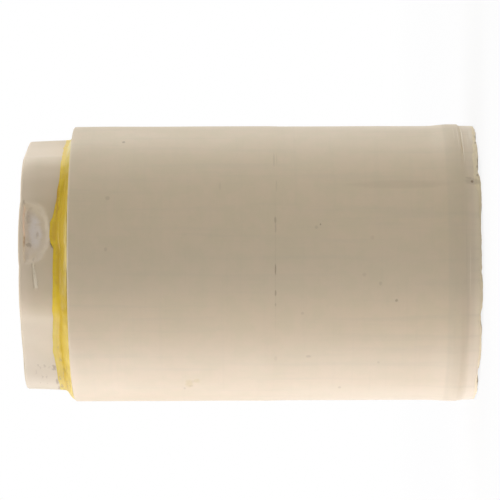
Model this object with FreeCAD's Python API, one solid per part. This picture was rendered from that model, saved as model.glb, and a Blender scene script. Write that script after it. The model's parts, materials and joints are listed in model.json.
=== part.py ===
import FreeCAD, Part
import math
import os

# A moulded plastic pipe coupling with a hexagon-headed reducing bushing cemented into its upper end.
# It stands on its open mouth. Z runs up the pipe axis, Z = 0 is the mouth, and lengths are millimetres.

# Coupling
socket_diameter = 33.6
socket_depth = 28.6
coupling_wall = 3.85
body_length = 60.1
stop_step = 1.7
lead_in = 0.6
half_step = 0.05
shoulder_round = 0.3

# Mouth end of the coupling: worn edge, scored ring and raised band
mouth_chamfer = 0.4
score_height = 2.5
score_depth = 0.12
score_width = 0.24
band_rise = 0.235
band_length = 2.1
band_fade = 1.9

# Chips along the mouth's outer edge: angle round the axis, width along the edge, height lost
chips = [(-28, 3.4, 0.34), (-56, 2.6, 0.16), (-97, 3.0, 0.12), (-118, 4.2, 0.14),
         (-141, 3.2, 0.24), (-163, 2.4, 0.3), (38, 3.6, 0.22), (84, 2.8, 0.18), (129, 3.8, 0.26)]

# Reducing bushing: the head's flats stand back from the coupling's rim by the shoulder margin
shoulder_margin = 2.8
head_corner_radius = 8.1
head_height = 7.1
head_draft = 2.0
head_edge_round = 0.35
head_turn = -73.1
glue_gap = 0.05
spigot_end_gap = 1.1
spigot_chamfer = 0.8
bushing_wall = 3.3
small_socket_depth = 25.4
ledge_step = 2.95
ledge_thickness = 2.2
flare_wall = 2.55

# Torn patch on the head's front flat, and the strip of plastic pushed out above it at the head's end
tear_radius = 4.45
tear_depth = 0.42
tear_offset = -0.5
lip_height = 0.65
lip_width = 1.1
lip_rise = 0.2

# Ring of squeezed-out cement round the foot of the head
cement_gap = 0.02
cement_edge = 0.35
cement_feather = 0.12
cement_waist = 0.35
cement_sections = 36

# Cement at angles round the axis: height up the head, and share of the bare shoulder that it covers
cement_run = [(-180, 2.3, 0.85), (-162, 1.95, 0.84), (-146, 2.3, 0.82), (-134, 2.6, 0.84),
              (-116, 2.3, 0.8), (-100, 2.15, 0.8), (-84, 2.1, 0.85), (-74, 2.75, 0.85), (-64, 2.1, 0.82),
              (-50, 1.7, 0.68), (-38, 1.55, 0.55), (-14, 1.6, 0.55), (0, 1.4, 0.42), (32, 1.7, 0.5),
              (64, 2.2, 0.75), (96, 1.8, 0.7), (128, 2.4, 0.82), (156, 1.9, 0.75), (180, 2.3, 0.85)]

socket_r = socket_diameter / 2
stop_r = socket_r - stop_step
body_r = socket_r + coupling_wall
band_r = body_r + band_rise
upper_r = body_r + half_step
apothem = body_r - shoulder_margin
head_top = body_length + head_height
head_taper = head_height * math.tan(math.radians(head_draft))
spigot_r = socket_r - glue_gap
spigot_end = body_length - socket_depth + spigot_end_gap
small_r = spigot_r - bushing_wall
ledge_r = small_r - ledge_step
flare_r = spigot_r - flare_wall


def at(radius, height):
    return FreeCAD.Vector(radius, 0, height)


def polyline(points):
    return [Part.makeLine(a, b) for a, b in zip(points, points[1:])]


def turned(edges):
    """Turn a closed outline of edges, drawn in the XZ plane, right round the axis."""
    face = Part.Face(Part.Wire(Part.__sortEdges__(edges)))
    return face.revolve(FreeCAD.Vector(0, 0, 0), FreeCAD.Vector(0, 0, 1), 360)


def chip_cutter(angle, width, depth):
    """A ball that bites into the mouth's outer edge, as wide and as deep as the chip."""
    radius = (width ** 2 / 4 + depth ** 2) / (2 * depth)
    turn = math.radians(angle)
    reach = body_r - mouth_chamfer / 2
    centre = FreeCAD.Vector(reach * math.cos(turn), reach * math.sin(turn), depth - radius)
    return Part.makeSphere(radius, centre)


def coupling():
    """The straight coupling: two sockets, a stop ring between them, and the mouth's band and score."""
    band_low = score_height + score_width / 2
    band_high = band_low + band_length
    fade_high = band_high + band_fade
    middle = body_length / 2
    slant = shoulder_round * (1 - math.sqrt(0.5))
    mouth = polyline([
        at(socket_r + lead_in, 0),
        at(body_r - mouth_chamfer, 0),
        at(body_r, mouth_chamfer),
        at(body_r, score_height - score_width / 2),
        at(body_r - score_depth, score_height),
        at(band_r, band_low),
        at(band_r, band_high)])
    barrel = polyline([
        at(band_r, band_high),
        at(body_r, fade_high),
        at(body_r, middle),
        at(upper_r, middle),
        at(upper_r, body_length - shoulder_round),
        at(upper_r - slant, body_length - slant),
        at(upper_r - shoulder_round, body_length)])
    inside = polyline([
        at(upper_r - shoulder_round, body_length),
        at(socket_r + lead_in, body_length),
        at(socket_r, body_length - lead_in),
        at(socket_r, body_length - socket_depth),
        at(stop_r, body_length - socket_depth),
        at(stop_r, socket_depth),
        at(socket_r, socket_depth),
        at(socket_r, lead_in),
        at(socket_r + lead_in, 0)])
    solid = turned(mouth + barrel + inside)
    return solid.cut([chip_cutter(*chip) for chip in chips])


def hexagon(flat_distance, height, corner_radius):
    """A hexagon with round corners: six straight sides joined by six arcs."""
    corner = (flat_distance - corner_radius) / math.cos(math.radians(30))
    edges = []
    for side in range(6):
        facing = head_turn + 60 * side
        ends = []
        for swing in (-30, 30):
            turn = math.radians(facing + swing)
            out = math.radians(facing)
            ends.append(FreeCAD.Vector(corner * math.cos(turn) + corner_radius * math.cos(out),
                                       corner * math.sin(turn) + corner_radius * math.sin(out), height))
        edges.append(Part.makeLine(*ends))
        turn = math.radians(facing + 30)
        crown = (corner + corner_radius)
        after = math.radians(facing + 60)
        edges.append(Part.Arc(
            ends[1],
            FreeCAD.Vector(crown * math.cos(turn), crown * math.sin(turn), height),
            FreeCAD.Vector(corner * math.cos(turn) + corner_radius * math.cos(after),
                           corner * math.sin(turn) + corner_radius * math.sin(after), height)).toShape())
    return Part.Wire(edges)


def head_prism(extra=0.0):
    """The hexagon head with its draft, grown all round by the extra distance."""
    foot = hexagon(apothem + extra, body_length, head_corner_radius + extra)
    crown = hexagon(apothem - head_taper + extra, head_top, head_corner_radius - head_taper + extra)
    return Part.makeLoft([foot, crown], True, True)


def on_flat(out, along, height):
    """A point beside the head's front flat: distance from the axis, distance along the flat, height."""
    facing = math.radians(head_turn)
    return FreeCAD.Vector(out * math.cos(facing) - along * math.sin(facing),
                          out * math.sin(facing) + along * math.cos(facing), height)


def ball_through(rise, half_width):
    """Radius of the ball whose cap is that high over that half width."""
    return (half_width ** 2 + rise ** 2) / (2 * rise)


def flat_slab(out_low, out_high, height_low, height_high):
    """A block in front of the flat, centred on the tear and wide enough to hold it."""
    left = tear_offset - 2 * tear_radius
    right = tear_offset + 2 * tear_radius
    corners = [(out_low, left), (out_high, left), (out_high, right), (out_low, right)]
    points = [on_flat(out, along, height_low) for out, along in corners]
    base = Part.Face(Part.makePolygon(points + points[:1]))
    return base.extrude(FreeCAD.Vector(0, 0, height_high - height_low))


def tear_cutter():
    """A large ball that scoops the torn patch out of the flat, stopped below the lip."""
    radius = ball_through(tear_depth, tear_radius)
    flat = apothem - head_taper
    ball = Part.makeSphere(radius, on_flat(flat + radius - tear_depth, tear_offset, head_top))
    below_lip = flat_slab(flat - 2 * tear_depth, flat + tear_radius,
                          head_top - 2 * tear_radius, head_top - lip_height)
    return ball.common(below_lip)


def lip():
    """The strip above the tear, pushed out past the head's end in a low arch."""
    radius = ball_through(lip_rise, tear_radius)
    flat = apothem - head_taper - head_edge_round
    ball = Part.makeSphere(radius, on_flat(flat - lip_width / 2, tear_offset, head_top + lip_rise - radius))
    strip = flat_slab(flat - lip_width, flat, head_top - lip_height, head_top + 2 * lip_rise)
    return ball.common(strip)


def bushing():
    """The bushing: hexagon head, round spigot, socket for the smaller pipe, ledge and flared way out."""
    head = head_prism()
    crown_edges = [edge for edge in head.Edges
                   if all(abs(vertex.Z - head_top) < 1e-6 for vertex in edge.Vertexes)]
    head = head.makeFillet(head_edge_round, crown_edges)
    spigot = turned(polyline([
        at(0, spigot_end),
        at(spigot_r - spigot_chamfer, spigot_end),
        at(spigot_r, spigot_end + spigot_chamfer),
        at(spigot_r, body_length),
        at(0, body_length),
        at(0, spigot_end)]))
    floor = head_top - small_socket_depth
    way_through = turned(polyline([
        at(0, head_top),
        at(small_r + lead_in, head_top),
        at(small_r, head_top - lead_in),
        at(small_r, floor),
        at(ledge_r, floor),
        at(ledge_r, floor - ledge_thickness),
        at(flare_r, spigot_end),
        at(0, spigot_end),
        at(0, head_top)]))
    blank = head.fuse([spigot, lip()]).removeSplitter()
    return blank.cut([way_through, tear_cutter()])


def head_radius(angle):
    """Distance from the axis to the head's foot outline, in a direction given in degrees."""
    off_flat = abs((angle - head_turn + 30) % 60 - 30)
    half_side = (apothem - head_corner_radius) * math.tan(math.radians(30))
    if apothem * math.tan(math.radians(off_flat)) <= half_side:
        return apothem / math.cos(math.radians(off_flat))
    corner = (apothem - head_corner_radius) / math.cos(math.radians(30))
    off_corner = math.radians(30 - off_flat)
    return corner * math.cos(off_corner) + math.sqrt(
        head_corner_radius ** 2 - (corner * math.sin(off_corner)) ** 2)


def cement_at(angle):
    """Height and covered share of the shoulder at an angle, eased between the listed places."""
    for (low, height_a, cover_a), (high, height_b, cover_b) in zip(cement_run, cement_run[1:]):
        if low <= angle <= high:
            step = (angle - low) / (high - low)
            step = step * step * (3 - 2 * step)
            return (height_a + (height_b - height_a) * step,
                    cover_a + (cover_b - cover_a) * step)


def cement_section(angle):
    """One slice of the cement ring: flat on the coupling's end, waisted as it climbs the head."""
    height, cover = cement_at(angle)
    turn = math.radians(angle)

    def place(radius, level):
        return FreeCAD.Vector(radius * math.cos(turn), radius * math.sin(turn), body_length + level)

    inner = socket_r + lead_in + cement_feather
    wall = head_radius(angle) + cement_feather
    reach = wall + cover * (upper_r - wall)
    return Part.Wire(polyline([
        place(inner, 0),
        place(reach, 0),
        place(reach, cement_edge),
        place(wall + cement_waist * (reach - wall), height / 2),
        place(wall, height),
        place(inner, height),
        place(inner, 0)]))


def cement():
    """The cement ring, hollowed to the hexagon of the head."""
    step = 360 / cement_sections
    sections = [cement_section(-180 + step * index) for index in range(cement_sections)]
    ring = Part.makeLoft(sections, True, False, True)
    return ring.cut(head_prism(cement_gap))


pieces = {
    "coupling_body": coupling,
    "reducing_bushing": bushing,
    "cement_bead": cement,
}

os.makedirs("parts", exist_ok=True)
for name, make in pieces.items():
    shape = make()
    shape.exportStep("parts/" + name + ".step")
    print(name, "valid", shape.isValid(), "solids", len(shape.Solids), "volume", round(shape.Volume, 1))
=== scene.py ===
import json
import math

import bpy
import numpy as np
from mathutils import Euler, Matrix, Vector


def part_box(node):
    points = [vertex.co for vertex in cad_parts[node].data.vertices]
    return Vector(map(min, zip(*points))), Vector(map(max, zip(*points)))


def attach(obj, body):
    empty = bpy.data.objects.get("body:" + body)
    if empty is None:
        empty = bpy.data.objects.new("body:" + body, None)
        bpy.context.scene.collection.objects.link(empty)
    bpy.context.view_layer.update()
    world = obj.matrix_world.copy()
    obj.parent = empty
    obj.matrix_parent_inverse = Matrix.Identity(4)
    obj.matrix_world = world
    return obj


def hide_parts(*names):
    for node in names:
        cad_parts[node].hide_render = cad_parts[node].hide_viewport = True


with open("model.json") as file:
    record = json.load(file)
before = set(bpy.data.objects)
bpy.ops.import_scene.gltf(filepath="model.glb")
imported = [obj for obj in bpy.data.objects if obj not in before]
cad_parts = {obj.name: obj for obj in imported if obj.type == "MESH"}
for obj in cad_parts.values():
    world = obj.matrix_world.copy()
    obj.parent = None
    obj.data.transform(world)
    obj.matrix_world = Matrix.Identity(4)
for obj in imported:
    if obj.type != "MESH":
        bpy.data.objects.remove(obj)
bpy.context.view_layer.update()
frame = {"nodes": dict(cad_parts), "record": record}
print("frame loaded:", ", ".join(sorted(frame["nodes"])))

mm = 0.001
cameraSide = -90    # degrees round the axis, from +X towards +Y

# Radii of the two sockets, in mm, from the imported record
bores = {m["name"]: m["dims"]["r_mm"] for m in frame["record"]["mounts"] if m["kind"] == "bore"}
shoulderHeight = round(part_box("coupling_body")[1].z / mm, 2)


# Shader maths: an expression on sockets adds its Math nodes

class Socket:
    tree = None

    def __init__(self, value):
        self.value = value.value if isinstance(value, Socket) else value

    @classmethod
    def node(cls, kind, settings, inputs, out=0):
        made = cls.tree.nodes.new(kind)
        for name, value in settings.items():
            if name == "stops":
                cls.setStops(made.color_ramp, value)
            else:
                setattr(made, name, value)
        for name, value in inputs.items():
            value = Socket(value).value
            if isinstance(value, bpy.types.NodeSocket):
                cls.tree.links.new(value, made.inputs[name])
            else:
                made.inputs[name].default_value = value
        if isinstance(out, tuple):
            return [Socket(made.outputs[each]) for each in out]
        return Socket(made.outputs[out]) if made.outputs else made

    @staticmethod
    def setStops(ramp, stops):
        while len(ramp.elements) < len(stops):
            ramp.elements.new(0.5)
        for element, (place, colour) in zip(ramp.elements, stops):
            element.position = place
            element.color = (*colour, 1)

    def maths(self, operation, *others):
        return Socket.node("ShaderNodeMath", {"operation": operation}, dict(enumerate((self, *others))))

    def __add__(self, other):
        return self.maths("ADD", other)

    def __radd__(self, other):
        return Socket(other).maths("ADD", self)

    def __sub__(self, other):
        return self.maths("SUBTRACT", other)

    def __rsub__(self, other):
        return Socket(other).maths("SUBTRACT", self)

    def __mul__(self, other):
        return self.maths("MULTIPLY", other)

    def __rmul__(self, other):
        return Socket(other).maths("MULTIPLY", self)

    def __truediv__(self, other):
        return self.maths("DIVIDE", other)

    def __rtruediv__(self, other):
        return Socket(other).maths("DIVIDE", self)

    def most(self, other):
        return self.maths("MAXIMUM", other)

    # A smooth step from 0 at one value to 1 at the other, either way round
    def ease(self, zeroAt, oneAt):
        return Socket.node("ShaderNodeMapRange", {"interpolation_type": "SMOOTHSTEP"},
                           {0: self, 1: zeroAt, 2: oneAt})

    # The colour under, covered with the colour over where this value is 1
    def paint(self, under, over):
        under, over = ((*c, 1) if isinstance(c, tuple) else c for c in (under, over))
        return Socket.node("ShaderNodeMix", {"data_type": "RGBA"}, {0: self, 6: under, 7: over}, out=2)


def objectPlace():
    return Socket.node("ShaderNodeTexCoord", {}, {}, out="Object")


# Noise with features about that many mm across, drawn out by a factor along each axis
def grain(place, size, detail=3.0, drawn=(1, 1, 1), roughness=0.55):
    scale = tuple(1 / (size * mm * factor) for factor in drawn)
    scaled = Socket.node("ShaderNodeVectorMath", {"operation": "MULTIPLY"}, {0: place, 1: scale})
    return Socket.node("ShaderNodeTexNoise", {}, {
        "Vector": scaled, "Scale": 1.0, "Detail": detail, "Roughness": roughness})


# Angle round the axis in degrees, and height in mm
def aroundAndUp(place):
    x, y, z = Socket.node("ShaderNodeSeparateXYZ", {}, {0: place}, out=(0, 1, 2))
    return y.maths("ARCTAN2", x) * math.degrees(1), z / mm


# 1 between two angles and 0 outside them, with a soft change at each, also across the back
def span(around, start, end, fade):
    off = (around - (start + end) / 2).maths("WRAP", 180.0, -180.0).maths("ABSOLUTE")
    half = (end - start) / 2
    return off.ease(half + fade / 2, half - fade / 2)


# The sum of such spans: each is start, end, fade, strength
def spans(around, runs):
    return sum(span(around, start, end, fade) * strength for start, end, fade, strength in runs)


# A smooth step times a strength
def wash(value, zeroAt, fullAt, strength):
    return value.ease(zeroAt, fullAt) * strength


# Distance from the axis in mm
def outwards(place):
    flat = Socket.node("ShaderNodeVectorMath", {"operation": "MULTIPLY"}, {0: place, 1: (1 / mm, 1 / mm, 0)})
    return Socket.node("ShaderNodeVectorMath", {"operation": "LENGTH"}, {0: flat}, out="Value")


# The place shifted by noise, up to about half that many mm each way
def strayed(place, size, amount, detail=2.0):
    scaled = Socket.node("ShaderNodeVectorMath", {"operation": "SCALE"}, {0: place, "Scale": 1 / (size * mm)})
    noise = Socket.node("ShaderNodeTexNoise", {}, {
        "Vector": scaled, "Scale": 1.0, "Detail": detail}, out="Color")
    shift = Socket.node("ShaderNodeVectorMath", {"operation": "SUBTRACT"}, {0: noise, 1: (0.5, 0.5, 0.5)})
    return Socket.node("ShaderNodeVectorMath", {"operation": "MULTIPLY_ADD"},
                       {0: shift, 1: (amount * mm,) * 3, 2: place})


ovalEdge = {
    "raggedSize": 0.45,        # mm across the noise that makes the edge ragged
    "whole": 0.15,             # squared distance, with 1 at the edge, inside which a mark is whole
    "fadeDepth": (3.0, 2.0),   # mm under the surface where it is gone, and where it is whole
}


# Soft oval marks with ragged edges: each is height, angle, half its height, half its width, strength
def ovals(place, radius, marks, ragged=0.8):
    around, up = aroundAndUp(strayed(place, ovalEdge["raggedSize"], ragged))
    total = 0.0
    for height, angle, tall, wide, strength in marks:
        rise = (up - height) / tall
        reach = (around - angle) * (math.radians(radius) / wide)
        inside = (rise * rise + reach * reach).ease(1.0, ovalEdge["whole"])
        total = inside.maths("MULTIPLY_ADD", strength, total)
    gone, whole = ovalEdge["fadeDepth"]
    return total * outwards(place).ease(radius - gone, radius - whole)


def fieldOf(name):
    return Socket.node("ShaderNodeAttribute", {"attribute_name": name}, {}, out="Fac")


def startMaterial(name):
    material = bpy.data.materials.new(name)
    material.use_nodes = True
    Socket.tree = material.node_tree
    Socket.tree.nodes.clear()
    return material


def endMaterial(look, colour, roughness, relief):
    bump = {"Height": relief, "Strength": 1.0, "Distance": look["bumpDepth"] * mm}
    normal = Socket.node("ShaderNodeBump", {}, bump)
    shader = Socket.node("ShaderNodeBsdfPrincipled", {}, {
        "Base Color": colour, "Roughness": roughness, "Normal": normal,
        "IOR": look["ior"], "Coat Weight": look["coat"], "Coat Roughness": look["coatRoughness"]})
    Socket.node("ShaderNodeOutputMaterial", {}, {"Surface": shader})


# Meshes: each piece is a closed skin of rings round the axis, drawn as an outline of corners

# Columns round the axis in degrees, with a share of them in a window of angles
def spreadColumns(count, centre, window, share):
    inside = int(count * share)
    near = centre - window / 2 + window * np.arange(inside) / inside
    far = centre + window / 2 + (360 - window) * np.arange(count - inside) / (count - inside)
    return np.sort((np.concatenate([near, far]) + 180) % 360 - 180)


# Rings along a closed outline: corners are (radius, height, rings up to the next corner)
def ringGrid(columns, corners):
    radii = []
    heights = []
    for (radius, height, steps), (nextRadius, nextHeight, _) in zip(corners, corners[1:] + corners[:1]):
        for step in range(steps):
            share = step / steps
            radii.append(radius + (nextRadius - radius) * share + 0 * columns)
            heights.append(height + (nextHeight - height) * share + 0 * columns)
    return np.array(radii), np.array(heights)


# Waves that close on themselves round the axis
def waves(columns, rng, amount, low, high):
    total = 0 * columns
    for turns in range(low, high):
        total = total + rng.normal() * np.cos(turns * np.radians(columns) + rng.uniform(0, 2 * math.pi))
    return amount * total / math.sqrt(high - low)


# Straight runs between random heights from 0 to the amount
def jagged(columns, rng, amount, teeth):
    places = np.sort(rng.uniform(-180, 180, teeth))
    return amount * np.interp(columns, places, rng.uniform(0, 1, teeth), period=360)


# Ripples over the whole skin: amount, how many, most turns round the axis, most radians per mm
def ripples(columns, heights, rng, amount, count, turns, perMm):
    total = 0 * heights
    for _ in range(count):
        phase = rng.integers(-turns, turns + 1) * np.radians(columns) + rng.uniform(-perMm, perMm) * heights
        total = total + np.cos(phase + rng.uniform(0, 2 * math.pi))
    return amount * total / math.sqrt(count / 2)


def smoothStep(value, zeroAt, oneAt):
    t = np.clip((value - zeroAt) / (oneAt - zeroAt), 0, 1)
    return t * t * (3 - 2 * t)


def makePiece(name, node, shape, material, sharpAngle):
    columns, radii, heights, fields = shape
    rings, around = radii.shape
    turn = np.radians(columns)
    points = np.stack([radii * np.cos(turn), radii * np.sin(turn), heights], axis=-1) * mm
    here = np.arange(rings * around).reshape(rings, around)
    above = np.roll(here, -1, axis=0)
    faces = np.stack([here, np.roll(here, -1, axis=1), np.roll(above, -1, axis=1), above], axis=-1)
    mesh = bpy.data.meshes.new(name)
    mesh.from_pydata(points.reshape(-1, 3).tolist(), [], faces.reshape(-1, 4).tolist())
    mesh.shade_smooth()
    mesh.set_sharp_from_angle(angle=math.radians(sharpAngle))
    for field, values in fields.items():
        mesh.attributes.new(field, "FLOAT", "POINT").data.foreach_set("value", values.ravel())
    mesh.materials.append(material)
    piece = bpy.data.objects.new(name, mesh)
    bpy.context.scene.collection.objects.link(piece)
    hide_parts(node)
    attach(piece, "root")
    print(name, "faces:", len(mesh.polygons))


# The coupling: a worn mouth below, a scored ring and a raised band beside it, the shoulder above

coupling = {
    "wall": 3.85,
    "columns": 640,
    "window": (-90, 190, 0.66),       # middle and width of the angles with most columns, and their share
    "sharpAngle": 38,
    "bandRise": 0.2,          # mean rise, and how much more it is on the +X side
    "bandLean": 0.035,
    "bandFoot": 2.75,         # soft at the front; sharper and lower, with a burr under it, on the +X side
    "bandDrop": 0.13,
    "bandFootRound": (0.04, 0.15),    # inwards and up
    "bandTop": 4.72,
    "bandTopRound": (0.03, 0.6),      # inwards and down
    "bandFade": 6.62,
    "easeRun": 0.8,                   # mm that the end of the fade and each half of the middle step take
    "sharpFrom": (-54, -38),          # angles between which the foot turns sharp, and soft again
    "sharpTo": (175, 120),
    "burrHeight": 1.75,
    "burrLift": 0.65,
    "burrBelow": 0.13,
    "burrAbove": 0.14,
    "burrRise": 0.035,
    "burrWaves": (0.25, 3, 30),
    "scoreDepth": 0.03,
    "middleStep": 0.05,
    "shoulderRound": [(0, 0.34), (0.05, 0.13), (0.15, 0.03)],    # mm inwards and down, point by point
    "shoulderEdge": 0.3,              # mm inwards where the end face begins
    "mouthChamfer": 0.05,
    "stopStep": 1.7,
    "socketDepth": 28.6,
    "leadIn": 0.6,
    # Height lost off the mouth's edge: angle, mm
    "mouthLoss": [(-180, 0.1), (-168, 0.15), (-158, 0.05), (-150, 0.12), (-146, 0.3), (-140, 0.3),
                  (-136, 0.06), (-126, 0.02), (-118, 0.04), (-115, 0.25), (-111, 0.28), (-108, 0.06),
                  (-98, 0.02), (-94, 0.2), (-84, 0.22), (-75, 0.26), (-70, 0.24), (-66, 0.06), (-58, 0.04),
                  (-52, 0.1), (-50, 0.34), (-43, 0.36), (-41, 0.1), (-33, 0.12), (-31, 0.28), (-24, 0.3),
                  (-21, 0.1), (-10, 0.16), (0, 0.08)],
    "hiddenFrom": (90, 100),          # degrees from the camera's side where chance takes over from the lists
    # Jagged edges are mm and number of teeth, waves are amount and the turns they go from and up to
    "edgeTeeth": (0.11, 240),
    "hiddenLoss": 0.02,
    "hiddenChips": (0.32, 16),
    "chipGain": 3,
    "hiddenTeeth": (0.05, 200),
    # Where the torn edge ends on the outside: angle, height in mm
    "tornTop": [(-180, 0.5), (-150, 0.55), (-128, 0.4), (-110, 0.5), (-96, 0.42), (-80, 0.45), (-66, 0.5),
                (-60, 0.55), (-56, 1.05), (-40, 1.1), (-30, 0.8), (-16, 0.7), (0, 0.5)],
    "hiddenTop": 0.4,
    "hiddenTorn": (0.5, 14),
    "tornTeeth": (0.16, 180),
    "tornWaves": (0.03, 20, 60),
    "tornStep": 0.02,
    "tornFade": 0.2,
    "lipTeeth": (0.09, 150),
    "flakesIn": (0.07, 190),
    "flakesUp": (0.08, 210),
    "skinDepth": 0.6,                 # mm inside the outer radius that still count as the outside
    "faceFade": (0.35, 0.8),          # mm inside it where the saw marks begin, and where they are full
    "faceTorn": 0.6,
    "sawMarks": (0.02, 12, 30, 4),    # as ripples takes them
    "barrelFoot": 0.3,
    "unevenness": (0.008, 30, 14, 0.5),
    "inset": 0.008,                   # mm that the skin is drawn in, so that its ripples stay on the solid
    "seed": 11,
}

# Outer radii of the coupling's lower and upper half, in mm
bodyRadius = bores["pipe_socket"] + coupling["wall"]
upperRadius = bodyRadius + coupling["middleStep"]


def couplingShape():
    c = coupling
    rng = np.random.default_rng(c["seed"])
    columns = spreadColumns(c["columns"], *c["window"])
    socket = bores["pipe_socket"]
    stop = socket - c["stopStep"]
    middle = shoulderHeight / 2
    band = bodyRadius + c["bandRise"] + c["bandLean"] * np.cos(np.radians(columns))

    # What the mouth's edge has lost and where its tearing ends: by the lists in front, by chance behind
    hidden = smoothStep(np.abs(columns - cameraSide), *c["hiddenFrom"])
    lossAngles, losses = zip(*c["mouthLoss"])
    tornAngles, tornTops = zip(*c["tornTop"])
    seen = np.interp(columns, lossAngles, losses) + jagged(columns, rng, *c["edgeTeeth"])
    chipped = jagged(columns, rng, *c["hiddenChips"]) ** 2 * c["chipGain"]
    unseen = c["hiddenLoss"] + chipped + jagged(columns, rng, *c["hiddenTeeth"])
    loss = seen * (1 - hidden) + unseen * hidden
    torn = np.interp(columns, tornAngles, tornTops)
    torn = torn * (1 - hidden) + (c["hiddenTop"] + jagged(columns, rng, *c["hiddenTorn"])) * hidden
    torn = torn + jagged(columns, rng, *c["tornTeeth"]) + waves(columns, rng, *c["tornWaves"])
    lip = bodyRadius - c["mouthChamfer"] - jagged(columns, rng, *c["lipTeeth"])

    # The band's foot, with the score and the burr under it
    sharp = smoothStep(columns, *c["sharpFrom"]) * smoothStep(columns, *c["sharpTo"])
    score = c["scoreDepth"] * sharp * (1 + waves(columns, rng, *c["burrWaves"]))
    burr = c["burrRise"] * sharp * (1 + waves(columns, rng, *c["burrWaves"]))
    burrHeight = c["burrHeight"] + c["burrLift"] * sharp
    bandFoot = c["bandFoot"] - c["bandDrop"] * sharp
    footIn, footUp = c["bandFootRound"]
    topIn, topDown = c["bandTopRound"]

    corners = [
        (lip, loss, 9),
        (bodyRadius - c["tornStep"], torn, 5),
        (bodyRadius, burrHeight - c["burrBelow"], 1),
        (bodyRadius + burr, burrHeight, 1),
        (bodyRadius - score, burrHeight + c["burrAbove"], 1),
        (band - footIn, bandFoot, 1),
        (band, bandFoot + footUp, 5),
        (band, c["bandTop"] - topDown, 3),
        (band - topIn, c["bandTop"], 7),
        (bodyRadius + topIn, c["bandFade"], 3),
        (bodyRadius, c["bandFade"] + c["easeRun"], 22),
        (bodyRadius, middle - c["easeRun"], 3),
        (upperRadius, middle + c["easeRun"], 28),
        *[(upperRadius - inwards, shoulderHeight - down, 2) for inwards, down in c["shoulderRound"]],
        (upperRadius - c["shoulderEdge"], shoulderHeight, 6),
        (socket + c["leadIn"], shoulderHeight, 2),
        (socket, shoulderHeight - c["leadIn"], 8),
        (socket, shoulderHeight - c["socketDepth"], 2),
        (stop, shoulderHeight - c["socketDepth"], 3),
        (stop, c["socketDepth"], 2),
        (socket, c["socketDepth"], 10),
        (socket, c["leadIn"] + loss, 2),
        (socket + c["leadIn"], loss, 8),
    ]
    radii, heights = ringGrid(columns, corners)

    # Flakes on the torn edge, saw marks on the mouth, and a faint unevenness of the barrel
    outside = radii > bodyRadius - c["skinDepth"]
    low = outside & (heights < torn)
    tear = smoothStep(heights, torn, torn - c["tornFade"]) * low
    for ring in np.nonzero(low.any(axis=1))[0]:
        radii[ring] -= tear[ring] * jagged(columns, rng, *c["flakesIn"])
        heights[ring] += tear[ring] * jagged(columns, rng, *c["flakesUp"])
    faceStart, faceFull = c["faceFade"]
    face = (radii < bodyRadius - faceStart) & (radii > socket + c["leadIn"] / 2) & (heights < c["leadIn"])
    faceShare = smoothStep(radii, bodyRadius - faceStart, bodyRadius - faceFull)
    heights = heights + face * faceShare * ripples(columns, radii, rng, *c["sawMarks"])
    barrel = outside & (heights > c["barrelFoot"])
    radii = radii + barrel * (ripples(columns, heights, rng, *c["unevenness"]) - c["inset"])
    heights = np.maximum(heights, 0)
    fields = {"torn": np.clip(tear + face * c["faceTorn"], 0, 1)}
    return columns, radii, heights, fields


# The bushing: hexagon head with round corners, torn on its front flat, spigot down in the coupling

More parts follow.
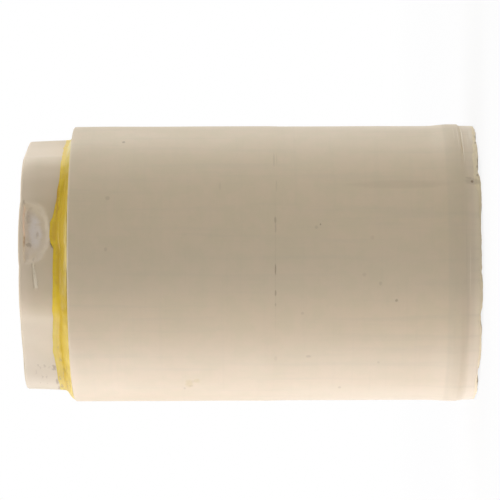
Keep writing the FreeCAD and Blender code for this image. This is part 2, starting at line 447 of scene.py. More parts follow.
bushing = {
    "columns": 720,
    "window": (-76, 44, 0.5),     # as for the coupling
    "sharpAngle": 38,
    "headHeight": 7.1,
    "shoulderMargin": 2.8,
    "cornerRadius": 8.1,
    "turn": -73.1,
    "draft": 2.0,
    "edgeRound": 0.35,
    "edgeEase": 0.05,
    "edgeShares": (0.6, 0.3),     # shares of the edge's round where its outline has points
    "glueGap": 0.05,
    "spigotEndGap": 1.1,
    "spigotChamfer": 0.8,
    "socketDepth": 25.4,
    "ledgeStep": 2.95,
    "ledgeThickness": 2.2,
    "flareWall": 2.55,
    "leadIn": 0.6,
    "flatReach": 42,              # degrees either side of the front flat's middle that the tear may reach
    "flatDepth": 1.6,             # mm inwards that it may reach
    "skinMargin": 0.01,
    "skinFoot": 0.3,              # mm above the shoulder where wear on the head begins
    # Torn patch on the front flat: middle along the flat, half width, reach below the lip, depth
    "tearMiddle": -0.55,
    "tearHalf": 4.85,
    "tearReach": 3.85,
    "tearDepth": 0.42,
    "rimPower": 2.5,
    "rimSwings": [(0.012, 3.1, 0), (0.005, 9, 1)],    # each is amount, radians per mm, start
    "rimWall": (1.0, 0.8),
    "dishSlope": 0.25,
    "shells": (0.05, 19),
    "shellFade": (1, 0.9),
    "tornFade": (1.04, 0.94),
    "heart": (-0.4, 1.6, 3.1, 1.2),    # pale middle: along, below the lip, half width, half height
    "heartFade": (1.0, 0.5),
    "borderRim": 0.86,
    "borderFade": (0.24, 0.04),
    "borderFaint": 0.35,
    "borderSide": (-2.5, 0.5),
    "lipHeight": 0.65,
    "lipRise": 0.2,
    "lipSwings": [(0.07, 1.3, 0), (0.03, 3.3, 1)],
    "lipSlope": 0.02,
    "lipFade": (0.02, -0.06),          # mm over its foot where the tear is gone, and where it is whole
    "lipDepth": (1.4, 0.7),
    "lipStart": 0.1,
    "archPower": 0.7,
    # The crack under the lip: lift, fade, and its gapes as along, half width outside and inside, share
    "crackLift": 0.02,
    "crackFade": (0.14, 0.03),
    "crackDepth": 0.22,
    "gapes": [(-1.75, 1.1, 0.5, 1), (4.15, 0.45, 0.2, 0.4)],
    "gapeSwing": (0.2, 9),
    "seamFade": (0.14, 0.04),
    "seamRun": (1.3, 2.6, 2.0),
    "seamDepth": 0.05,
    # The flake: along and height of its root, slope, half height there and how it grows, ends, shadow
    "flakeRoot": (-5.3, 65.2),
    "flakeSlope": 0.09,
    "flakeHalf": 0.14,
    "flakeGrowth": (0.05, 4),
    "flakeEnds": [(-8.9, -8.5), (-4.9, -5.4)],
    "flakeRise": 0.06,
    "shadowLift": 0.06,
    "shadowFade": (0.14, 0.04),
    "shadowDepth": 0.05,
    "unevenness": (0.01, 26, 24, 1.2),
    "inset": 0.01,
    "endMarks": (0.012, 14, 16, 1.0),
    "endInset": 0.02,
    "endBand": 0.4,
    # Dents and humps on the flat: along, height, half width, half height, depth
    "dents": [(0.3, 64.75, 1.7, 0.5, -0.13), (-0.75, 64.62, 0.5, 0.3, 0.12), (2.0, 66.0, 1.2, 0.3, 0.13),
              (-2.25, 65.85, 0.6, 0.55, 0.16), (-4.3, 65.8, 1.0, 0.55, -0.13), (-2.35, 62.3, 0.5, 0.35, 0.2),
              (3.1, 64.9, 1.0, 0.35, -0.07), (-3.3, 64.6, 1.2, 0.3, 0.06)],
    "seed": 23,
}

apothem = bodyRadius - bushing["shoulderMargin"]    # mm from the axis to the middle of a flat, at the foot


# Distance from the axis to a hexagon with round corners, by its flats' distance and the corners' radius
def hexagonRadius(columns, flatDistance, cornerRadius, turn):
    off = np.abs((columns - turn + 30) % 60 - 30)
    middle = (flatDistance - cornerRadius) / math.cos(math.radians(30))
    swing = np.radians(30 - off)
    onCorner = middle * np.cos(swing) + np.sqrt(cornerRadius ** 2 - (middle * np.sin(swing)) ** 2)
    onFlat = flatDistance / np.cos(np.radians(off))
    halfSide = (flatDistance - cornerRadius) * math.tan(math.radians(30))
    return np.where(flatDistance * np.tan(np.radians(off)) <= halfSide, onFlat, onCorner)


def gauss(along, height, dent):
    middle, level, wide, tall, depth = dent
    return depth * np.exp(-((along - middle) / wide) ** 2 - ((height - level) / tall) ** 2)


# Waves along the flat: each is amount, radians per mm, start
def swings(along, parts):
    return sum(amount * np.sin(along * perMm + start) for amount, perMm, start in parts)


def bushingShape():
    b = bushing
    rng = np.random.default_rng(b["seed"])
    columns = spreadColumns(b["columns"], *b["window"])
    top = shoulderHeight + b["headHeight"]
    taper = b["headHeight"] * math.tan(math.radians(b["draft"]))
    socket = bores["bushing_socket"]
    ledge = socket - b["ledgeStep"]
    spigot = bores["pipe_socket"] - b["glueGap"]
    spigotEnd = shoulderHeight - coupling["socketDepth"] + b["spigotEndGap"]
    foot = hexagonRadius(columns, apothem, b["cornerRadius"], b["turn"])
    crown = hexagonRadius(columns, apothem - taper, b["cornerRadius"] - taper, b["turn"])
    edge = b["edgeRound"]
    edgeFar, edgeNear = (share * edge for share in b["edgeShares"])
    floor = top - b["socketDepth"]
    corners = [
        (foot, shoulderHeight, 66),
        (crown, top - edge, 2),
        (crown - b["edgeEase"], top - edgeFar, 2),
        (crown - edgeNear, top - edgeNear, 2),
        (crown - edgeFar, top - b["edgeEase"], 2),
        (crown - edge, top, 12),
        (socket + b["leadIn"], top, 2),
        (socket, top - b["leadIn"], 8),
        (socket, floor, 2),
        (ledge, floor, 2),
        (ledge, floor - b["ledgeThickness"], 3),
        (spigot - b["flareWall"], spigotEnd, 2),
        (spigot - b["spigotChamfer"], spigotEnd, 1),
        (spigot, spigotEnd + b["spigotChamfer"], 4),
        (spigot, shoulderHeight, 2),
    ]
    radii, heights = ringGrid(columns, corners)

    # Place on the front flat: distance along it, 0 at its middle
    off = np.radians(columns - b["turn"])
    along = radii * np.sin(off)
    facing = (np.abs(off) < math.radians(b["flatReach"])) & (radii > crown - b["flatDepth"])
    outside = radii > np.minimum(foot, crown) - edge - b["skinMargin"]

    # The dish: steep at its round rim, straight along the lip, with shell-like ridges
    lipFoot = top - b["lipHeight"] + swings(along, b["lipSwings"]) + b["lipSlope"] * along
    across = np.abs((along - b["tearMiddle"]) / b["tearHalf"])
    down = np.clip((lipFoot - heights) / b["tearReach"], 0, None)
    power = b["rimPower"]
    rim = (across ** power + down ** power) ** (1 / power) + swings(along, b["rimSwings"])
    tearGone, tearWhole = b["lipFade"]
    below = smoothStep(heights, lipFoot + tearGone, lipFoot + tearWhole)
    shellRise, shellTurns = b["shells"]
    shells = shellRise * np.sin(rim * shellTurns) * smoothStep(rim, *b["shellFade"])
    dish = smoothStep(rim, *b["rimWall"]) * (1 - b["dishSlope"] * rim) + shells
    dish = dish * below * b["tearDepth"]
    heartAlong, heartDown, heartWide, heartTall = b["heart"]
    heart = np.hypot((along - heartAlong) / heartWide, (heights - lipFoot + heartDown) / heartTall)
    # The border is a painted highlight along the dish's rim, strongest on its side towards +X
    faint = b["borderFaint"]
    border = smoothStep(np.abs(rim - b["borderRim"]), *b["borderFade"])
    border = border * (faint + (1 - faint) * smoothStep(along, *b["borderSide"]))
    for dent in b["dents"]:
        dish = dish + gauss(along, heights, dent)

    # The crack under the lip gapes in two places, and a thin seam runs on between them
    crackOff = np.abs(heights - lipFoot - b["crackLift"])
    gape = sum(share * smoothStep(np.abs(along - place), outer, inner)
               for place, outer, inner, share in b["gapes"])
    unsteady, perMm = b["gapeSwing"]
    gape = gape * (1 - unsteady + unsteady * np.sin(along * perMm))
    crack = smoothStep(crackOff, *b["crackFade"]) * gape
    seamMiddle, seamOuter, seamInner = b["seamRun"]
    seam = smoothStep(np.abs(crackOff - b["crackLift"]), *b["seamFade"])
    seam = seam * smoothStep(np.abs(along - seamMiddle), seamOuter, seamInner)
    dish = dish + b["crackDepth"] * crack + b["seamDepth"] * seam

    # The flake that runs on from the dish's lower end: a step, pale below it and dark above, in its shape and
    # in a painted highlight and painted shade
    rootAlong, rootHeight = b["flakeRoot"]
    growth, growthEnd = b["flakeGrowth"]
    farEnd, nearEnd = b["flakeEnds"]
    flakeEdge = rootHeight + b["flakeSlope"] * (along - rootAlong)
    flakeWide = b["flakeHalf"] + growth * np.clip(rootAlong - along, 0, growthEnd)
    flakeReach = smoothStep(along, *farEnd) * smoothStep(along, *nearEnd)
    flakePale = smoothStep(np.abs(heights - flakeEdge + flakeWide), flakeWide, flakeWide * 0.5) * flakeReach
    flakeDark = smoothStep(np.abs(heights - flakeEdge - b["shadowLift"]), *b["shadowFade"]) * flakeReach
    dish = dish - b["flakeRise"] * flakePale + b["shadowDepth"] * flakeDark

    onHead = outside & (heights > shoulderHeight + b["skinFoot"])
    onFlat = onHead & facing
    radii = radii - np.where(onFlat, dish, 0) / np.cos(off)
    radii = radii + onHead * (ripples(columns, heights, rng, *b["unevenness"]) - b["inset"])

    # The lip: the strip above the tear, pushed up past the head's end in a low arch
    lipInner, lipOuter = b["lipDepth"]
    arch = np.clip(1 - ((along - b["tearMiddle"]) / b["tearHalf"]) ** 2, 0, 1) ** b["archPower"]
    nearEdge = smoothStep(radii, crown - lipInner, crown - lipOuter)
    nearEdge = nearEdge * smoothStep(heights, lipFoot + b["lipStart"], top)
    heights = heights + np.where(facing, arch * nearEdge * b["lipRise"], 0)
    endFace = (heights > top - b["endBand"]) & (radii > socket + b["leadIn"])
    endLoss = b["endInset"] + ripples(columns, radii, rng, *b["endMarks"])
    heights = heights - endFace * endLoss * (1 - arch * nearEdge)

    marks = {
        "torn": smoothStep(rim, *b["tornFade"]) * below,
        "middle": smoothStep(heart, *b["heartFade"]) * below,
        "border": border * below,
        "crack": crack,
        "seam": seam,
        "flake": flakePale - flakeDark,
    }
    fields = {name: np.where(onFlat, mark, 0) for name, mark in marks.items()}
    return columns, radii, heights, fields


# The cement: a ring squeezed out between the coupling's end and the head's foot

cement = {
    "columns": 900,
    "window": (-90, 200, 0.7),        # as for the coupling
    "sharpAngle": 60,
    "outerRings": 46,
    "innerRings": 8,
    "gap": 0.02,
    "climbPower": 1.15,
    "waist": 0.36,                    # share of the climb where the section draws in fastest
    "waistSoft": 0.1,
    "fallRange": 0.97,
    "heightWaves": (0.05, 6, 60),
    "coverWaves": (0.015, 8, 50),
    "freeFoot": (0, 0.08),
    "freeTop": (1, 0.86),
    "ridgeCount": 2.4,
    "ridgeRise": 0.05,
    "ridgeWander": (0.5, 2, 14),
    "lumps": (0.035, 40, 70, 2.5),    # as ripples takes them
    "lumpClimb": 4,                   # mm that the climb counts as for the lumps
    "depthGain": 3,
    "leastDepth": 0.25,
    # Angle, height up the head, share of the bare shoulder covered
    "run": [(-180, 2.3, 0.85), (-162, 1.95, 0.84), (-146, 2.3, 0.82), (-134, 2.6, 0.84),
            (-116, 2.3, 0.8), (-100, 2.15, 0.8), (-84, 2.1, 0.85), (-82.3, 2.12, 0.85), (-79.6, 2.55, 0.85),
            (-77, 2.72, 0.85), (-70, 2.68, 0.85), (-67.5, 2.25, 0.84), (-62, 2.0, 0.8), (-52, 1.47, 0.66),
            (-38, 1.3, 0.52), (-27, 1.32, 0.5), (-14, 1.5, 0.5), (0, 1.4, 0.42), (32, 1.7, 0.5),
            (64, 2.2, 0.75), (96, 1.8, 0.7), (128, 2.4, 0.82), (156, 1.9, 0.75), (180, 2.3, 0.85)],
    "seed": 31,
}


def cementShape():
    c = cement
    rng = np.random.default_rng(c["seed"])
    columns = spreadColumns(c["columns"], *c["window"])
    angles, heightRun, coverRun = zip(*c["run"])
    tall = np.interp(columns, angles, heightRun) + waves(columns, rng, *c["heightWaves"])
    cover = np.interp(columns, angles, coverRun) + waves(columns, rng, *c["coverWaves"])
    draft = math.tan(math.radians(bushing["draft"]))
    zeros = 0 * columns

    def headAt(level):
        less = level * draft
        return hexagonRadius(columns, apothem - less, bushing["cornerRadius"] - less,
                             bushing["turn"]) + c["gap"]

    def fallAt(share):
        return 1 / (1 + math.exp((share - c["waist"]) / c["waistSoft"]))

    # Rings up the outside, then down the head and back to the foot: radius, height, share of the climb
    foot = headAt(0)
    reach = foot + cover * (upperRadius - foot)
    rings = []
    for step in range(c["outerRings"] + 1):
        share = step / c["outerRings"]
        level = tall * share ** c["climbPower"]
        wall = headAt(level)
        fall = (fallAt(share) - fallAt(1)) / c["fallRange"]
        rings.append((wall + (reach - wall) * np.clip(fall, 0, 1), level, zeros + share))
    for step in range(1, c["innerRings"]):
        level = tall * (1 - step / c["innerRings"])
        rings.append((headAt(level), level, zeros + 1))
    rings.append((foot, zeros, zeros + 1))
    radii, heights, climb = (np.array(part) for part in zip(*rings))

    # Ridges along the run and lumps where it sagged
    free = smoothStep(climb, *c["freeFoot"]) * smoothStep(climb, *c["freeTop"])
    wander = waves(columns, rng, *c["ridgeWander"])
    ridges = np.cos(2 * math.pi * climb * c["ridgeCount"] + wander) * c["ridgeRise"]
    lumps = ripples(columns, climb * c["lumpClimb"], rng, *c["lumps"])
    depth = np.clip((radii - foot) * c["depthGain"], c["leastDepth"], 1)
    radii = radii + free * depth * (ridges + lumps)
    heights = heights + shoulderHeight
    return columns, radii, heights, {"climb": climb, "ridge": ridges / (2 * c["ridgeRise"]) + 0.5}


# Materials

plastic = {
    "warm": (0.70, 0.570, 0.400),
    "cool": (0.676, 0.564, 0.388),
    "stain": (0.54, 0.475, 0.35),
    "dirt": (0.34, 0.25, 0.155),
    "tone": {"size": 5, "detail": 4, "drawn": (1, 1, 1.6)},
    "toneShade": (0.35, 0.8, 0.06),    # noise where the shade is gone and where it is full, and its strength
    "toneGloss": 0.12,
    "hue": {"size": 2.6, "detail": 2},
    "hueRange": (0.35, 0.65),
    "fine": {"size": 0.5, "detail": 2},
    "fineShade": (0.4, 0.8, 0.05),
    "roughness": 0.45,
    "bumpDepth": 0.02,
    "ior": 1.5,
    "coat": 0.0,
    "coatRoughness": 0.3,
}

couplingMarks = {
    "tornColour": (0.94, 0.82, 0.58),
    "wornColour": (0.90, 0.79, 0.64),
    "burrColour": (0.88, 0.79, 0.64),
    # Washes by height in mm: gone, full and, where there is a third value, the strength
    "bandFoot": (1.9, 2.4),
    "bandTop": (5.3, 4.8),
    # Painted light: the mouth wash makes up for the floor's shade near the mouth; the barrel wash makes the
    # sides' painted highlight stronger towards the mouth
    "mouth": (3.4, 0.3, 0.42),
    "barrel": (48.0, 6.0),
    # Painted light: the torn colour round the mouth's edge on the front, making up for the floor's shade
    # there
    "rim": (1.6, 0.6, 0.55),
    # Washes by degrees from the middle of the front or of the painted shade along it, likewise; the side
    # washes are a painted highlight
    "frontMiddle": -84,
    "nearSides": (30, 55, 0.15),
    "farSides": (62, 80, 0.25),
    "rimFront": (60, 20),
    # Painted shade: the stain colour laid along the front, where the part faces the camera
    "filmMiddle": -93,
    "film": (16, 5, 0.15),
    # Noises, and the washes that they make
    "mottle": {"size": 2.4, "drawn": (2, 2, 1)},
    "mottleRange": (0.3, 0.65),
    "bandGrey": 0.24,
    "rings": {"size": 1.2, "detail": 3, "drawn": (18, 18, 0.5)},
    "ringShade": (0.5, 0.75, 0.07),
    "streaks": {"size": 1.1, "detail": 3, "drawn": (1, 1, 22)},
    "streakShade": (0.5, 0.72, 0.16),
    "flakes": {"size": 0.6, "detail": 3},
    "flakeShade": (0.3, 0.55, 0.4),
    "tornShare": 0.5,
    "tornGrain": {"size": 0.35, "detail": 3},
    "tornRough": 0.25,
    "bandRough": 0.06,
    "relief": {"tone": 0.5, "fine": 0.25, "rings": 0.25, "torn": 4},
    "ragged": {"pale": 0.15, "scuffs": 0.5, "specks": 0.15, "dashes": 0.1},
    # Specks and faint lines: height, angle, half height, half width, strength
    "specks": [
        (52.32, -29.6, 0.31, 0.38, 0.61), (54.28, -62.4, 0.44, 0.44, 0.24), (54.48, -84.0, 0.31, 0.38, 0.2),
        (24.06, -75.3, 0.31, 0.31, 0.22), (23.48, -74.1, 0.16, 0.18, 0.68), (16.0, -79.5, 0.38, 0.38, 0.14),
        (17.18, -94.4, 0.38, 0.38, 0.14), (14.88, -98.0, 0.31, 0.38, 0.22), (12.56, -105.0, 0.28, 0.28, 0.57),
        (26.12, -110.3, 0.31, 0.31, 0.19), (25.22, -130.9, 0.5, 0.3, 0.27), (14.99, -134.4, 0.28, 0.25, 0.22),
        (20.57, -152.5, 0.31, 0.5, 0.27), (43.45, -152.8, 0.2, 0.45, 0.3), (42.45, -150.5, 0.45, 0.3, 0.2),
        (42.2, -147.0, 0.25, 0.5, 0.12), (2.45, -88.0, 0.08, 6.0, 0.12), (2.2, -112.0, 0.3, 6.0, 0.07),
        (12.0, -56.3, 9.0, 0.9, 0.13), (38.0, -57.0, 0.25, 0.88, 0.11),
        (1.41, -55.0, 0.25, 0.28, 0.95), (1.3, -54.9, 1.38, 0.69, 0.27), (1.9, -53.2, 0.62, 0.25, 0.27),
        (0.55, -51.5, 0.2, 0.31, 0.54), (0.45, -30.5, 0.2, 0.38, 0.54), (0.5, -46.8, 0.18, 0.38, 0.41),
        (33.0, 40.0, 0.38, 0.38, 0.41), (47.5, 95.0, 0.31, 0.44, 0.41), (12.0, 130.0, 0.38, 0.31, 0.41),
        (21.0, 70.0, 0.25, 0.62, 0.27), (39.0, 158.0, 0.38, 0.38, 0.34)],
    # Painted highlight along the burr beside the band and the band's foot
    "pale": [(2.33, -28.0, 0.12, 7.0, 0.95), (0.9, -24.0, 0.5, 3.0, 0.5), (2.95, -27.0, 0.07, 5.0, 0.45),
             (3.5, -22.0, 0.06, 3.5, 0.3), (1.6, -30.0, 0.06, 3.0, 0.3), (1.92, -93.0, 0.08, 4.5, 0.3)],
    # A golden scuff low on the front
    "scuffs": [(42.75, -148.6, 0.7, 1.5, 0.5), (41.6, -146.3, 0.65, 0.65, 0.42)],
    "scuffColour": (0.60, 0.48, 0.24),
    # The parting line at mid-length, in broken dashes
    "dashes": [
        (30.15, -42.5, 0.16, 1.9, 0.2), (29.75, -42.0, 0.12, 1.7, 0.13), (29.8, -56.5, 0.14, 1.3, 0.15),
        (30.0, -72.2, 0.22, 0.65, 0.42), (29.95, -75.5, 0.15, 0.9, 0.26), (30.0, -92.2, 0.15, 1.0, 0.62),
        (30.0, -101.8, 0.17, 0.55, 0.5), (30.0, -106.6, 0.15, 0.35, 0.3), (30.0, -132.0, 0.3, 0.6, 0.12),
        (30.0, -90.0, 0.1, 14.0, 0.08)],
}


def plasticBase(place, look):
    tone = grain(place, **look["tone"])
    hue = grain(place, **look["hue"])
    fine = grain(place, **look["fine"])
    colour = hue.ease(*look["hueRange"]).paint(look["warm"], look["cool"])
    shade = wash(tone, *look["toneShade"]) + wash(fine, *look["fineShade"])
    return shade.paint(colour, look["stain"]), tone, fine


def couplingMaterial():
    look = plastic
    marks = couplingMarks
    material = startMaterial("couplingPlastic")
    place = objectPlace()
    colour, tone, fine = plasticBase(place, look)
    around, up = aroundAndUp(place)
    front = (around - marks["frontMiddle"]).maths("ABSOLUTE")
    film = (around - marks["filmMiddle"]).maths("ABSOLUTE")

    def spots(name):
        return ovals(place, bodyRadius, marks[name], marks["ragged"][name])

    # Painted light: paler towards the mouth, making up for the floor's shade there, and a painted highlight
    # on the sides seen edge-on; then grey on the band and painted shade along the front
    sides = wash(front, *marks["nearSides"]) + wash(front, *marks["farSides"])
    paintedLight = wash(up, *marks["mouth"]) + up.ease(*marks["barrel"]) * sides
    colour = paintedLight.paint(colour, marks["wornColour"])
    # Painted light: the torn colour round the mouth's edge on the front, making up for the floor's shade
    rim = wash(up, *marks["rim"]) * front.ease(*marks["rimFront"])
    colour = rim.paint(colour, marks["tornColour"])
    mottle = grain(place, **marks["mottle"]).ease(*marks["mottleRange"])
    greyBand = up.ease(*marks["bandFoot"]) * up.ease(*marks["bandTop"]) * (mottle + 1) / 2
    rings = grain(place, **marks["rings"])
    grey = greyBand * marks["bandGrey"] + wash(film, *marks["film"]) + wash(rings, *marks["ringShade"])
    colour = grey.paint(colour, look["stain"])
    streaks = wash(grain(place, **marks["streaks"]), *marks["streakShade"])
    colour = streaks.paint(colour, look["stain"])

    # Painted highlight on the burr, scuffs, torn edge, then specks and the parting line's dashes
    colour = spots("pale").paint(colour, marks["burrColour"])
    colour = spots("scuffs").paint(colour, marks["scuffColour"])
    torn = fieldOf("torn")
    flakes = wash(grain(place, **marks["flakes"]), *marks["flakeShade"])
    colour = (torn * (flakes + marks["tornShare"])).paint(colour, marks["tornColour"])
    colour = (spots("specks") + spots("dashes")).paint(colour, look["dirt"])

    roughness = look["roughness"] + (tone - 0.5) * look["toneGloss"]
    roughness = roughness + torn * marks["tornRough"] + greyBand * marks["bandRough"]
    depth = marks["relief"]
    relief = tone * depth["tone"] + fine * depth["fine"] + rings * depth["rings"]
    relief = relief + torn * grain(place, **marks["tornGrain"]) * depth["torn"]
    endMaterial(look, colour, roughness, relief)
    return material


bushingMarks = {
    # On the front flat, round the torn patch: dirt, and a painted shadow under the lip
    "dark": [
        (66.5, -60.3, 0.15, 0.15, 0.2), (64.62, -75.6, 0.28, 0.5, 0.28), (66.1, -66.5, 0.25, 1.3, 0.3),
        (65.85, -80.4, 0.5, 0.45, 0.4), (62.3, -81.0, 0.35, 0.5, 0.75), (65.1, -87.6, 0.18, 0.5, 0.25),
        (64.85, -93.5, 0.09, 1.7, 0.22), (64.4, -99.0, 0.08, 1.2, 0.16),
        # Rows of grey dirt on the lower flat
        (65.0, -145.6, 0.18, 0.35, 0.4), (64.7, -147.2, 0.15, 0.3, 0.3), (64.1, -145.9, 0.25, 0.35, 0.38),
        (63.4, -146.4, 0.2, 0.3, 0.2), (65.4, -149.6, 0.12, 0.5, 0.28), (64.5, -152.6, 0.16, 0.5, 0.38),
        (63.9, -152.9, 0.16, 0.5, 0.34), (64.9, -157.4, 0.12, 0.35, 0.35), (63.9, -157.7, 0.25, 0.25, 0.28),
        (62.65, -146.5, 0.4, 0.7, 0.75), (62.4, -156.0, 0.3, 1.0, 0.8), (62.2, -164.0, 0.3, 1.3, 0.8),
        # A few on the flats behind
        (64.0, 20.0, 0.3, 0.4, 0.3), (65.2, 78.0, 0.2, 0.5, 0.35), (63.6, 140.0, 0.25, 0.3, 0.3)],
    "tornColour": (0.82, 0.70, 0.56),
    "middleColour": (0.85, 0.76, 0.67),
    "borderColour": (0.84, 0.71, 0.51),
    "wornColour": (0.84, 0.705, 0.535),
    "crackColour": (0.42, 0.23, 0.12),
    "seamColour": (0.86, 0.62, 0.46),
    "flakeColour": (0.88, 0.78, 0.60),
    # Paler towards the head's end: heights in mm, angles as start, end, fade, strength, and its share all
    # round
    "end": (64.4, 67.2),
    "endSpans": [(-111, 100, 22, 0.55)],
    "endShare": 0.15,
    # A painted highlight on the +X side's corner, pale beside the tear, stained on the lower flats
    "cornerSides": [(-36, -29), (20, -20)],
    "cornerShare": 0.95,
    "paleSpans": [(-58.5, -44.5, 6, 0.35), (-99, -81, 8, 0.3)],
    "stainSpans": [(-210, -115, 14, 0.35), (-210, -140, 13, 0.2)],
    # The tear: noise, its washes and the strengths of its parts
    "patch": {"size": 0.8, "detail": 4},
    "tornPatch": (0.3, 0.6, 0.4),
    "tornShare": 0.35,
    "middlePatch": (0.35, 0.6, 0.4),
    "middleShare": 0.5,
    "borderShare": 0.85,
    "flakePale": (0, 1, 0.8),
    "flakeDark": (0, -1, 0.3),
    "seamShare": 0.7,
    "crackShare": 0.65,
    "tornRough": 0.12,
    "sawn": (66.9, 67.2, 0.4),         # the end face is rougher
    "relief": {"tone": 0.5, "fine": 0.3, "torn": 3},
}


def bushingMaterial():
    look = plastic
    marks = bushingMarks
    material = startMaterial("bushingPlastic")
    place = objectPlace()
    colour, tone, fine = plasticBase(place, look)
    around, up = aroundAndUp(place)

    # Paler towards the head's end, a painted highlight on its +X corner, stain on the lower flats
    endPale = up.ease(*marks["end"]) * (spans(around, marks["endSpans"]) + marks["endShare"])
    colour = endPale.paint(colour, marks["wornColour"])
    # Painted highlight: the pale colour laid over the +X side's corner
    cornerStart, cornerEnd = marks["cornerSides"]
    corners = around.ease(*cornerStart) * around.ease(*cornerEnd) * marks["cornerShare"]
    colour = (corners + spans(around, marks["paleSpans"])).paint(colour, marks["wornColour"])
    colour = spans(around, marks["stainSpans"]).paint(colour, look["stain"])

    # The tear, its flake, seam and crack, with painted highlights and shade, then dirt and a painted shadow
    # under the lip
    torn = fieldOf("torn")
    flake = fieldOf("flake")
    patch = grain(place, **marks["patch"])
    tornShare = wash(patch, *marks["tornPatch"]) + marks["tornShare"]
    middleShare = wash(patch, *marks["middlePatch"]) + marks["middleShare"]
    # The torn colour is partly lifted to make up for the shade in the dish's hollow
    colour = (torn * tornShare).paint(colour, marks["tornColour"])
    colour = (fieldOf("middle") * middleShare).paint(colour, marks["middleColour"])
    colour = (fieldOf("border") * marks["borderShare"]).paint(colour, marks["borderColour"])
    # Painted highlight below the flake's step and painted shade above it
    colour = wash(flake, *marks["flakePale"]).paint(colour, marks["flakeColour"])
    colour = wash(flake, *marks["flakeDark"]).paint(colour, look["dirt"])
    # Painted highlight along the seam under the lip
    colour = (fieldOf("seam") * marks["seamShare"]).paint(colour, marks["seamColour"])
    # Painted shade in the crack
    colour = (fieldOf("crack") * marks["crackShare"]).paint(colour, marks["crackColour"])
    colour = ovals(place, apothem, marks["dark"]).paint(colour, look["dirt"])

    roughness = look["roughness"] + (tone - 0.5) * look["toneGloss"]
    roughness = roughness + torn * marks["tornRough"] + wash(up, *marks["sawn"])
    relief = tone * marks["relief"]["tone"] + fine * marks["relief"]["fine"]
    relief = relief + torn * patch * marks["relief"]["torn"]
    endMaterial(look, colour, roughness, relief)
    return material


glue = {
    "stops": [(0.0, (0.70, 0.52, 0.05)), (0.14, (0.60, 0.41, 0.02)), (0.34, (0.60, 0.41, 0.018)),
              (0.55, (0.60, 0.40, 0.016)), (0.78, (0.63, 0.42, 0.012)), (0.95, (0.62, 0.46, 0.018))],
    "endsColour": (0.78, 0.63, 0.11),
    "headColour": (0.93, 0.67, 0.045),
    "topColour": (0.80, 0.73, 0.42),
    "deepColour": (0.60, 0.46, 0.03),
    "pale": (0.86, 0.68, 0.20),
    "amber": (0.66, 0.38, 0.06),
    "dirt": (0.34, 0.24, 0.09),
    "bumpDepth": 0.06,
    "ior": 1.35,
    "coat": 0.1,
    "coatRoughness": 0.22,
    "roughness": 0.4,
    "cloudGloss": 0.25,
    "climbNoise": {"size": 1.6, "drawn": (2, 2, 1)},
    "climbStray": 0.3,
    "cloud": {"size": 1.1, "detail": 4},
    "palePatches": {"size": 0.7, "detail": 3},
    "fine": {"size": 0.4, "detail": 3},
    "relief": {"cloud": 0.6, "fine": 0.4},
    # Angles as start, end, fade and, where there is a fourth value, strength
    "endSpans": [(-250, -121, 18, 0.12), (-45, 120, 14, 0.6)],
    "topSpans": [(-22, 60, 16, 0.4)],
    "topFootSpan": (-33.5, 60, 17),
    "topFoot": (61.2, 60.4, 0.5),        # height where it is gone, where it is full, and strength
    "headSpan": (-114, 150, 12),
    "lowerSpan": (-190, -114, 12),
    # Washes by the share of the climb, by the ridges or by noise: gone, full, strength
    "headClimb": (0.42, 0.8, 0.85),
    "deepClimb": (0.45, 0.8, 0.5),
    "paleClimb": (0.5, 0.25, 0.3),
    "ridgePale": (0.5, 1.1, 0.15),
    "cloudAmber": (0.5, 0.75, 0.3),
    "patchPale": (0.55, 0.8, 0.15),
    "marksOut": 1,                       # mm from the flats out to the radius on which the marks lie
    "amberRuns": [(61.75, -50.0, 0.3, 8.5, 0.65), (61.5, -88.0, 0.3, 5.0, 0.25),
                  (62.1, -74.5, 0.6, 2.0, 0.45)],
    "dark": [(61.3, -150.0, 0.1, 2.4, 0.6), (60.85, -157.0, 0.1, 2.6, 0.65), (61.1, -146.0, 0.16, 0.7, 0.45),
             (60.75, -143.0, 0.12, 1.6, 0.4), (61.65, -141.0, 0.2, 0.5, 0.5), (61.9, -153.0, 0.2, 0.7, 0.6),
             (61.75, -160.0, 0.22, 1.0, 0.7), (61.8, -133.0, 0.16, 0.5, 0.3), (60.4, -150.5, 0.1, 1.5, 0.5),
             (62.25, -82.0, 0.2, 0.35, 0.3), (61.5, -166.0, 0.3, 1.0, 0.6), (60.9, -137.0, 0.14, 0.6, 0.3),
             (62.0, 60.0, 0.2, 0.7, 0.4), (61.2, 130.0, 0.2, 1.0, 0.4)],
}


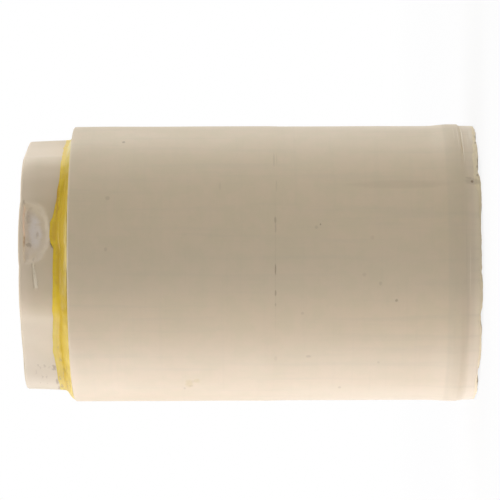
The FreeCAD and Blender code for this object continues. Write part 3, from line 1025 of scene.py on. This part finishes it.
def cementMaterial():
    look = glue
    material = startMaterial("solventCement")
    place = objectPlace()
    around, up = aroundAndUp(place)
    climb = fieldOf("climb") + (grain(place, **look["climbNoise"]) - 0.5) * look["climbStray"]
    colour = Socket.node("ShaderNodeValToRGB", {"stops": look["stops"]}, {0: climb})

    # Paler towards the top of the picture, warmer beside the head, deeper low on the front
    colour = spans(around, look["endSpans"]).paint(colour, look["endsColour"])
    topFoot = span(around, *look["topFootSpan"]) * wash(up, *look["topFoot"])
    colour = (topFoot + spans(around, look["topSpans"])).paint(colour, look["topColour"])
    nearHead = wash(climb, *look["headClimb"]) * span(around, *look["headSpan"])
    colour = nearHead.paint(colour, look["headColour"])
    lower = span(around, *look["lowerSpan"])
    colour = (lower * wash(climb, *look["deepClimb"])).paint(colour, look["deepColour"])
    colour = (lower * wash(climb, *look["paleClimb"])).paint(colour, look["pale"])

    # Pale ridges and patches, amber clouds and runs, then dirt
    colour = wash(fieldOf("ridge"), *look["ridgePale"]).paint(colour, look["pale"])
    cloud = grain(place, **look["cloud"])
    colour = wash(cloud, *look["cloudAmber"]).paint(colour, look["amber"])
    colour = wash(grain(place, **look["palePatches"]), *look["patchPale"]).paint(colour, look["pale"])
    radius = apothem + look["marksOut"]
    colour = ovals(place, radius, look["amberRuns"]).paint(colour, look["amber"])
    colour = ovals(place, radius, look["dark"]).paint(colour, look["dirt"])

    roughness = look["roughness"] + (cloud - 0.5) * look["cloudGloss"]
    relief = cloud * look["relief"]["cloud"] + grain(place, **look["fine"]) * look["relief"]["fine"]
    endMaterial(look, colour, roughness, relief)
    return material


makePiece("couplingShell", "coupling_body", couplingShape(), couplingMaterial(),
          coupling["sharpAngle"])
makePiece("bushingShell", "reducing_bushing", bushingShape(), bushingMaterial(),
          bushing["sharpAngle"])
makePiece("cementRing", "cement_bead", cementShape(), cementMaterial(),
          cement["sharpAngle"])


# Stage: a pale floor that is nearly white to the camera and keeps a faint shadow

stage = {
    "floorSize": 4.0,
    "floorColour": (0.9, 0.9, 0.9),
    "floorGlow": 1.0,
    "nearShare": 0.86,
    "nearRadius": 0.1,
    "farRadius": 0.3,
    "ambient": 0.146,
}


# 1 for what the camera sees, also in a reflection, and 0 for the light that falls on things
def seenRays():
    camera, glossy, through = Socket.node("ShaderNodeLightPath", {}, {}, out=(
        "Is Camera Ray", "Is Glossy Ray", "Is Transmission Ray"))
    return camera.most(glossy).most(through)


def makeFloor():
    half = stage["floorSize"] / 2
    mesh = bpy.data.meshes.new("floor")
    points = [(-half, -half, 0), (half, -half, 0), (half, half, 0), (-half, half, 0)]
    mesh.from_pydata(points, [], [(0, 1, 2, 3)])
    material = startMaterial("floorWhite")
    plain = Socket.node("ShaderNodeBsdfDiffuse", {}, {"Color": (*stage["floorColour"], 1)})
    glow = Socket.node("ShaderNodeEmission", {}, {"Color": (1, 1, 1, 1), "Strength": stage["floorGlow"]})
    distance = Socket.node("ShaderNodeVectorMath", {"operation": "LENGTH"}, {0: objectPlace()}, out="Value")
    far = distance.ease(stage["nearRadius"], stage["farRadius"])
    share = stage["nearShare"] + far * (1 - stage["nearShare"])
    both = Socket.node("ShaderNodeMixShader", {}, {0: seenRays() * share, 1: plain, 2: glow})
    Socket.node("ShaderNodeOutputMaterial", {}, {"Surface": both})
    mesh.materials.append(material)
    floor = bpy.data.objects.new("floor", mesh)
    bpy.context.scene.collection.objects.link(floor)


def makeWorld():
    world = bpy.data.worlds.new("studio")
    world.use_nodes = True
    Socket.tree = world.node_tree
    Socket.tree.nodes.clear()
    strength = stage["ambient"] + seenRays() * (1 - stage["ambient"])
    light = Socket.node("ShaderNodeBackground", {}, {"Color": (1, 1, 1, 1), "Strength": strength})
    Socket.node("ShaderNodeOutputWorld", {}, {"Surface": light})
    bpy.context.scene.world = world


# Soft boxes that look at the part from all round: angle round the axis, elevation, power in watts
lamps = {
    "distance": 0.9,
    "width": 0.45,
    "length": 0.66,
    "pinkish": (0.94, 0.92, 1.0),
    "boxes": [("plusX", 0, 18, 1.16), ("minusXFront", -150, 18, 0.79), ("minusX", 180, 18, 4.3),
              ("minusXBack", 148, 18, 2.25), ("plusXBack", 32, 18, 1.98), ("overhead", 0, 90, 4.8)],
}


def makeLamps():
    middle = shoulderHeight * mm / 2
    for name, angle, elevation, power in lamps["boxes"]:
        light = bpy.data.lights.new(name, "AREA")
        light.shape = "RECTANGLE"
        light.size = lamps["width"]
        light.size_y = lamps["length"]
        light.energy = power
        if name.startswith("minus"):
            light.color = lamps["pinkish"]
        lamp = bpy.data.objects.new(name, light)
        turn = math.radians(angle)
        lift = math.radians(elevation)
        away = Vector((math.cos(lift) * math.cos(turn), math.cos(lift) * math.sin(turn), math.sin(lift)))
        lamp.location = away * lamps["distance"] + Vector((0, 0, middle))
        lamp.rotation_euler = (-away).to_track_quat("-Z", "Y").to_euler()
        lamp.visible_camera = False
        bpy.context.scene.collection.objects.link(lamp)


# Camera: about level with the part's middle, rolled so that the pipe axis lies across the picture
cameraView = {
    "focalPixels": 2974,
    "picturePixels": 500,
    "sensorWidth": 36,
    "clip": (0.01, 20),                  # metres
    "place": (1.485, -448.916, 31.424),
    "tilt": (0.0705, 0.2992, -0.2044),
}


def makeCamera():
    v = cameraView
    data = bpy.data.cameras.new("camera")
    data.sensor_width = v["sensorWidth"]
    data.lens = v["focalPixels"] * v["sensorWidth"] / v["picturePixels"]
    data.clip_start, data.clip_end = v["clip"]
    camera = bpy.data.objects.new("camera", data)
    level = Matrix(((0, 1, 0), (0, 0, -1), (-1, 0, 0)))  # its right is down the axis, its up is +X
    tilt = Euler([math.radians(angle) for angle in v["tilt"]]).to_matrix()
    camera.matrix_world = Matrix.Translation(Vector(v["place"]) * mm) @ (level @ tilt).to_4x4()
    bpy.context.scene.collection.objects.link(camera)
    bpy.context.scene.camera = camera


makeFloor()
makeWorld()
makeLamps()
makeCamera()
bpy.context.scene.view_settings.view_transform = "Standard"
print("stage, lamps and camera ready")
